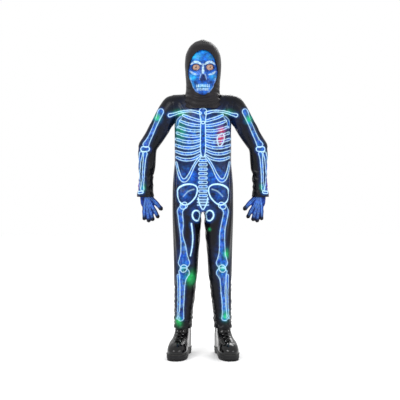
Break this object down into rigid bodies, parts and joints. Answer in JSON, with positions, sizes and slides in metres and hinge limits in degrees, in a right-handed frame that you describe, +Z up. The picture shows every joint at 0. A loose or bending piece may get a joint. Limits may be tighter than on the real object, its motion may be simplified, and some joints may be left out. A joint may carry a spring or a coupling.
{
  "type": "standing skeleton display figure",
  "caption": "Free-standing child-size display figure in a black X-ray skeleton jumpsuit with hood, skull mask, gloves and laced boots; head, arms, legs and back zip move.",
  "frame": {"origin": "on the floor, at the centre of the figure's box seen from above", "axes": "+Z up, the figure faces -Y, the figure's own left side is +X"},
  "size_m": [0.59, 0.2807, 1.4],
  "materials": {
    "frame_steel": "satin black powder coat",
    "zinc_steel": "zinc plated",
    "form_plastic": "blow-moulded, fine grain",
    "head_plastic": "matt moulded",
    "eye_plastic": "glossy moulded, painted iris",
    "mask_plastic": "thin moulded, printed skull",
    "hood_fabric": "brushed stretch knit",
    "satin_fabric": "glossy satin, printed bones",
    "zip_fabric": "woven tape with moulded coil",
    "zip_metal": "gloss black",
    "glove_fabric": "stretch knit, printed bones",
    "lace_fabric": "braided",
    "boot_leather": "patent",
    "sole_rubber": "matt"
  },
  "bodies": {
    "torso": {"spine_tube": "frame_steel", "shoulder_bar": "frame_steel", "hip_bar": "frame_steel", "hip_bolts": "zinc_steel", "torso_front_shell": "form_plastic", "torso_back_shell": "form_plastic", "shell_screws": "zinc_steel", "suit_body": "satin_fabric", "hood_drape": "satin_fabric", "zip_tape": "zip_fabric"},
    "zip": {"zip_slider": "zip_metal"},
    "neck": {"neck_yoke": "frame_steel", "nod_bolt": "zinc_steel"},
    "head": {"head_form": "head_plastic", "eyes": "eye_plastic", "mask": "mask_plastic", "hood": "hood_fabric"},
    "shoulder_left": {"shoulder_yoke_left": "frame_steel", "shoulder_bolt_left": "zinc_steel"},
    "upper_arm_left": {"upper_arm_tube_left": "frame_steel", "elbow_bolt_left": "zinc_steel", "upper_arm_form_left": "form_plastic", "sleeve_upper_left": "satin_fabric"},
    "forearm_left": {"forearm_tube_left": "frame_steel", "sleeve_lower_left": "satin_fabric"},
    "hand_left": {"hand_form_left": "form_plastic", "glove_left": "glove_fabric"},
    "thigh_left": {"thigh_tube_left": "frame_steel", "knee_bolt_left": "zinc_steel", "thigh_form_left": "form_plastic", "trouser_upper_left": "satin_fabric"},
    "shin_left": {"shin_tube_left": "frame_steel", "trouser_lower_left": "satin_fabric"},
    "foot_left": {"boot_sole_left": "sole_rubber", "boot_upper_left": "boot_leather", "boot_laces_left": "lace_fabric", "foot_plate_left": "frame_steel", "ankle_bolt_left": "zinc_steel"},
    "shoulder_right": {"shoulder_yoke_right": "frame_steel", "shoulder_bolt_right": "zinc_steel"},
    "upper_arm_right": {"upper_arm_tube_right": "frame_steel", "elbow_bolt_right": "zinc_steel", "upper_arm_form_right": "form_plastic", "sleeve_upper_right": "satin_fabric"},
    "forearm_right": {"forearm_tube_right": "frame_steel", "sleeve_lower_right": "satin_fabric"},
    "hand_right": {"hand_form_right": "form_plastic", "glove_right": "glove_fabric"},
    "thigh_right": {"thigh_tube_right": "frame_steel", "knee_bolt_right": "zinc_steel", "thigh_form_right": "form_plastic", "trouser_upper_right": "satin_fabric"},
    "shin_right": {"shin_tube_right": "frame_steel", "trouser_lower_right": "satin_fabric"},
    "foot_right": {"boot_sole_right": "sole_rubber", "boot_upper_right": "boot_leather", "boot_laces_right": "lace_fabric", "foot_plate_right": "frame_steel", "ankle_bolt_right": "zinc_steel"}
  },
  "joints": [
    {"name": "zip_slide", "type": "slide", "parent": "torso", "child": "zip", "axis": [0, 0, -1], "range_m": [0, 0.26]},
    {"name": "head_turn", "type": "hinge", "parent": "torso", "child": "neck", "pos_m": [0, 0.0414, 1.15], "axis": [0, 0, 1], "range_deg": [-50, 50]},
    {"name": "head_nod", "type": "hinge", "parent": "neck", "child": "head", "pos_m": [0, 0.0414, 1.205], "axis": [1, 0, 0], "range_deg": [-12, 15]},
    {"name": "shoulder_swing_left", "type": "hinge", "parent": "torso", "child": "shoulder_left", "pos_m": [0.135, 0.0314, 1.105], "axis": [-1, 0, 0], "range_deg": [-30, 90]},
    {"name": "arm_lift_left", "type": "hinge", "parent": "shoulder_left", "child": "upper_arm_left", "pos_m": [0.135, 0.0314, 1.105], "axis": [0, -1, 0], "range_deg": [-3, 60]},
    {"name": "elbow_bend_left", "type": "hinge", "parent": "upper_arm_left", "child": "forearm_left", "pos_m": [0.252, 0.0314, 0.93], "axis": [-1, 0, 0], "range_deg": [0, 80]},
    {"name": "wrist_turn_left", "type": "hinge", "parent": "forearm_left", "child": "hand_left", "pos_m": [0.252, 0.0314, 0.735], "axis": [0, 0, 1], "range_deg": [-60, 60]},
    {"name": "hip_swing_left", "type": "hinge", "parent": "torso", "child": "thigh_left", "pos_m": [0.069, 0.0314, 0.7], "axis": [-1, 0, 0], "range_deg": [-15, 45]},
    {"name": "knee_bend_left", "type": "hinge", "parent": "thigh_left", "child": "shin_left", "pos_m": [0.074, 0.0314, 0.4], "axis": [1, 0, 0], "range_deg": [0, 70]},
    {"name": "ankle_tilt_left", "type": "hinge", "parent": "shin_left", "child": "foot_left", "pos_m": [0.09, 0.0314, 0.082], "axis": [1, 0, 0], "range_deg": [-8, 8]},
    {"name": "shoulder_swing_right", "type": "hinge", "parent": "torso", "child": "shoulder_right", "pos_m": [-0.135, 0.0314, 1.105], "axis": [-1, 0, 0], "range_deg": [-30, 90]},
    {"name": "arm_lift_right", "type": "hinge", "parent": "shoulder_right", "child": "upper_arm_right", "pos_m": [-0.135, 0.0314, 1.105], "axis": [0, 1, 0], "range_deg": [-3, 60]},
    {"name": "elbow_bend_right", "type": "hinge", "parent": "upper_arm_right", "child": "forearm_right", "pos_m": [-0.252, 0.0314, 0.93], "axis": [-1, 0, 0], "range_deg": [0, 80]},
    {"name": "wrist_turn_right", "type": "hinge", "parent": "forearm_right", "child": "hand_right", "pos_m": [-0.252, 0.0314, 0.735], "axis": [0, 0, -1], "range_deg": [-60, 60]},
    {"name": "hip_swing_right", "type": "hinge", "parent": "torso", "child": "thigh_right", "pos_m": [-0.069, 0.0314, 0.7], "axis": [-1, 0, 0], "range_deg": [-15, 45]},
    {"name": "knee_bend_right", "type": "hinge", "parent": "thigh_right", "child": "shin_right", "pos_m": [-0.074, 0.0314, 0.4], "axis": [1, 0, 0], "range_deg": [0, 70]},
    {"name": "ankle_tilt_right", "type": "hinge", "parent": "shin_right", "child": "foot_right", "pos_m": [-0.09, 0.0314, 0.082], "axis": [1, 0, 0], "range_deg": [-8, 8]}
  ]
}
